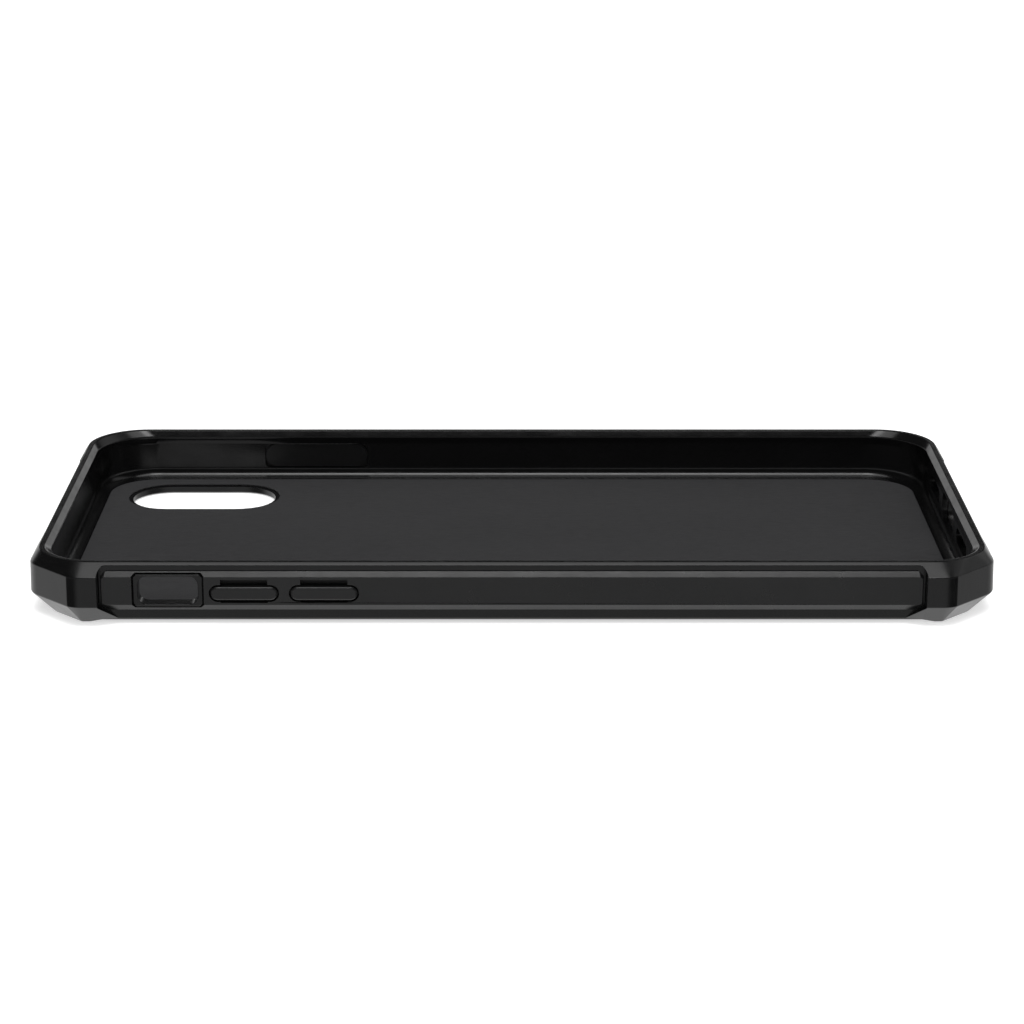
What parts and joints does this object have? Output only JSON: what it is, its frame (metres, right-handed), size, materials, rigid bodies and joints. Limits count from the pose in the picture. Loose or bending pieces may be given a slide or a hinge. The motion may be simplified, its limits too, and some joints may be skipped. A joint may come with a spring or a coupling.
{
  "type": "phone case",
  "caption": "Rugged hybrid phone case with a soft bumper frame, faceted corner feet, chamfered side rails, a stiff lined back and sprung push buttons.",
  "frame": {"origin": "under the middle of the case, on the plane that the four corner feet stand on", "axes": "+X along the case towards the end with the charging port, +Y across towards the side button, +Z out of the phone's screen"},
  "size_m": [0.1578, 0.084, 0.0103],
  "materials": {
    "frame_tpu": "glossy black moulded TPU",
    "back_polycarbonate": "fine matte texture",
    "lining_microfibre": "soft brushed microfibre",
    "rail_satin": "satin black hard plastic",
    "button_tpu": "satin black moulded TPU"
  },
  "bodies": {
    "case": {"bumper_frame": "frame_tpu", "back_panel": "back_polycarbonate", "back_lining": "lining_microfibre", "camera_ring": "rail_satin", "left_rail": "rail_satin", "right_rail": "rail_satin", "top_rail": "rail_satin", "bottom_rail": "rail_satin"},
    "volume_up": {"volume_up_button": "button_tpu"},
    "volume_down": {"volume_down_button": "button_tpu"},
    "side_key": {"side_button": "button_tpu"}
  },
  "joints": [
    {"name": "volume_up_press", "type": "slide", "parent": "case", "child": "volume_up", "axis": [0, 1, 0], "range_m": [0, 0.0004], "stiffness_N_per_m": 2500, "springref_m": -0.0001},
    {"name": "volume_down_press", "type": "slide", "parent": "case", "child": "volume_down", "axis": [0, 1, 0], "range_m": [0, 0.0004], "stiffness_N_per_m": 2500, "springref_m": -0.0001},
    {"name": "side_key_press", "type": "slide", "parent": "case", "child": "side_key", "axis": [0, -1, 0], "range_m": [0, 0.0004], "stiffness_N_per_m": 2500, "springref_m": -0.0001}
  ]
}
